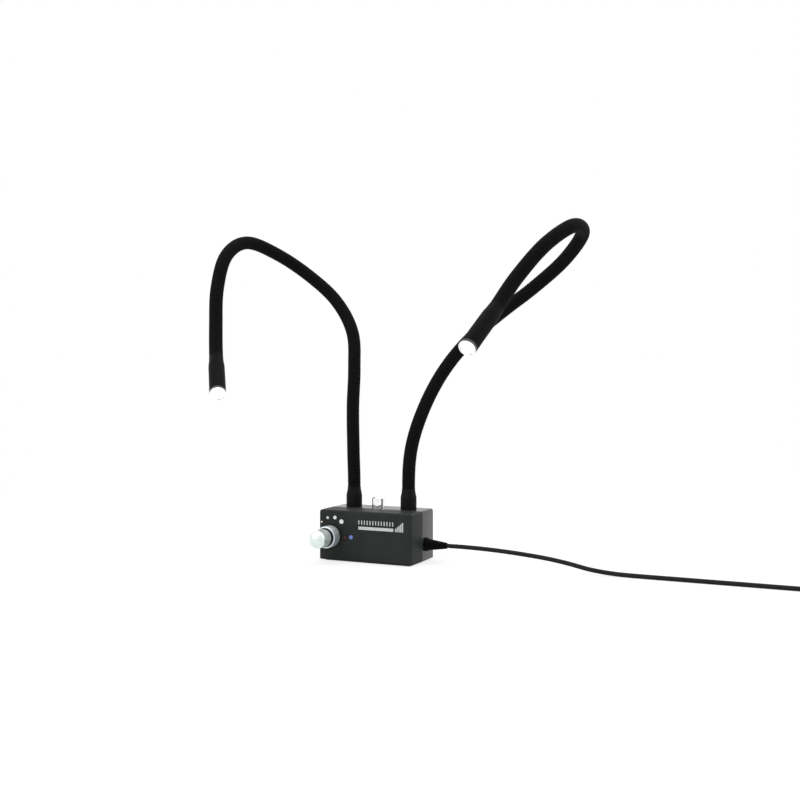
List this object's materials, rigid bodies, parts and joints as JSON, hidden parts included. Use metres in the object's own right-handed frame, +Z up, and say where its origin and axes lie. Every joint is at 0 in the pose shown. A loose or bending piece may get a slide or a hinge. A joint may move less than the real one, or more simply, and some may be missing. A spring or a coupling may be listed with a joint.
{
  "type": "gooseneck led illuminator",
  "caption": "Bench lamp: small control box with a dimmer knob and indicators, ribbed black goosenecks that each carry an LED lamp head, a round mounting spigot on top and a low-voltage lead.",
  "frame": {"origin": "on the floor under the middle of the case's parting plane, on the lower face of the rubber pad", "axes": "+Z up along the mounting spigot, +X to the right along the front panel, front panel facing -Y"},
  "size_m": [0.6132, 0.2023, 0.3224],
  "materials": {
    "case_grey": "satin moulded, fine grain",
    "pad_black": "matt",
    "ballast_iron": "blacked plate",
    "screw_steel": "zinc plated",
    "spigot_steel": "turned and polished",
    "ferrule_steel": "turned",
    "nut_brass": "milled",
    "shrink_black": "satin shrunk sleeve",
    "neck_black": "satin black wound steel",
    "lamp_alloy": "turned",
    "led_board_white": "white solder mask",
    "led_phosphor": "phosphor under a clear dome",
    "lens_clear": "clear moulded lens",
    "board_green": "solder mask",
    "inductor_ferrite": "ferrite",
    "capacitor_sleeve": "sleeved can",
    "chip_black": "moulded",
    "socket_white": "moulded",
    "pot_metal": "plated",
    "hub_black": "moulded",
    "knob_chrome": "polished, fine knurl",
    "led_blue": "tinted, lit",
    "led_red": "tinted, unlit",
    "print_white": "printed ink",
    "cord_grey": "satin jacket",
    "boot_black": "matt moulded",
    "tie_black": "moulded",
    "plug_black": "moulded",
    "barrel_nickel": "nickel plated"
  },
  "bodies": {
    "base": {"front_shell": "case_grey", "rear_shell": "case_grey", "base_pad": "pad_black", "ballast_plate": "ballast_iron", "case_screws": "screw_steel", "mounting_spigot": "spigot_steel", "spigot_screw": "screw_steel", "neck_ferrules": "ferrule_steel", "ferrule_nuts": "nut_brass", "left_base_sleeve": "shrink_black", "right_base_sleeve": "shrink_black", "circuit_board": "board_green", "board_screws": "screw_steel", "power_inductor": "inductor_ferrite", "smoothing_capacitors": "capacitor_sleeve", "driver_chip": "chip_black", "board_sockets": "socket_white", "dimmer_pot": "pot_metal", "pot_nut": "screw_steel", "power_led": "led_blue", "status_led": "led_red", "scale_dots": "print_white", "panel_print": "print_white", "strain_relief": "boot_black", "cord_lead": "cord_grey", "cord_coil": "cord_grey", "coil_tie": "tie_black", "plug_body": "plug_black", "plug_barrel": "barrel_nickel", "left_neck_1": "neck_black", "right_neck_1": "neck_black"},
    "knob": {"pot_shaft": "pot_metal", "knob_hub": "hub_black", "knob_skirt": "knob_chrome", "knob_cap": "knob_chrome", "knob_screw": "screw_steel"},
    "left_link_2": {"left_neck_2": "neck_black"},
    "left_link_3": {"left_neck_3": "neck_black"},
    "left_link_4": {"left_neck_4": "neck_black"},
    "left_link_5": {"left_neck_5": "neck_black"},
    "left_link_6": {"left_neck_6": "neck_black"},
    "left_link_7": {"left_neck_7": "neck_black", "left_head_sleeve": "shrink_black", "left_lamp_housing": "lamp_alloy", "left_led_board": "led_board_white", "left_led_emitter": "led_phosphor", "left_lens": "lens_clear"},
    "right_link_2": {"right_neck_2": "neck_black"},
    "right_link_3": {"right_neck_3": "neck_black"},
    "right_link_4": {"right_neck_4": "neck_black"},
    "right_link_5": {"right_neck_5": "neck_black"},
    "right_link_6": {"right_neck_6": "neck_black"},
    "right_link_7": {"right_neck_7": "neck_black", "right_head_sleeve": "shrink_black", "right_lamp_housing": "lamp_alloy", "right_led_board": "led_board_white", "right_led_emitter": "led_phosphor", "right_lens": "lens_clear"}
  },
  "joints": [
    {"name": "knob_turn", "type": "hinge", "parent": "base", "child": "knob", "pos_m": [-0.0356, -0.025, 0.0248], "axis": [0, 1, 0], "range_deg": [-200, 100]},
    {"name": "left_bend_1", "type": "hinge", "parent": "base", "child": "left_link_2", "pos_m": [-0.031, 0.012, 0.11], "axis": [0.9993, -0.0002, 0.0375], "range_deg": [-35, 35]},
    {"name": "left_bend_2", "type": "hinge", "parent": "left_link_2", "child": "left_link_3", "pos_m": [-0.035, 0.022, 0.19], "axis": [0.011, 0.974, -0.2263], "range_deg": [-35, 35]},
    {"name": "left_bend_3", "type": "hinge", "parent": "left_link_3", "child": "left_link_4", "pos_m": [-0.065, 0.039, 0.26], "axis": [0.7581, 0.142, 0.6365], "range_deg": [-35, 35]},
    {"name": "left_bend_4", "type": "hinge", "parent": "left_link_4", "child": "left_link_5", "pos_m": [-0.118, 0.008, 0.308], "axis": [-0.6614, 0.6277, 0.4105], "range_deg": [-35, 35]},
    {"name": "left_bend_5", "type": "hinge", "parent": "left_link_5", "child": "left_link_6", "pos_m": [-0.132, -0.063, 0.299], "axis": [0.4971, -0.5802, 0.6452], "range_deg": [-35, 35]},
    {"name": "left_bend_6", "type": "hinge", "parent": "left_link_6", "child": "left_link_7", "pos_m": [-0.123, -0.094, 0.227], "axis": [-0.8325, -0.5541, 0.0036], "range_deg": [-35, 35]},
    {"name": "right_bend_1", "type": "hinge", "parent": "base", "child": "right_link_2", "pos_m": [0.033, 0.012, 0.11], "axis": [0.982, -0.0009, -0.1888], "range_deg": [-35, 35]},
    {"name": "right_bend_2", "type": "hinge", "parent": "right_link_2", "child": "right_link_3", "pos_m": [0.064, 0.017, 0.184], "axis": [-0.0469, 0.9919, -0.118], "range_deg": [-35, 35]},
    {"name": "right_bend_3", "type": "hinge", "parent": "right_link_3", "child": "right_link_4", "pos_m": [0.117, 0.033, 0.241], "axis": [-0.651, 0.0833, 0.7545], "range_deg": [-35, 35]},
    {"name": "right_bend_4", "type": "hinge", "parent": "right_link_4", "child": "right_link_5", "pos_m": [0.179, 0.036, 0.289], "axis": [0.3486, 0.9247, 0.1527], "range_deg": [-35, 35]},
    {"name": "right_bend_5", "type": "hinge", "parent": "right_link_5", "child": "right_link_6", "pos_m": [0.205, -0.027, 0.311], "axis": [0.5799, 0.082, -0.8106], "range_deg": [-35, 35]},
    {"name": "right_bend_6", "type": "hinge", "parent": "right_link_6", "child": "right_link_7", "pos_m": [0.17, -0.077, 0.263], "axis": [-0.5666, 0.7667, -0.3018], "range_deg": [-35, 35]}
  ]
}
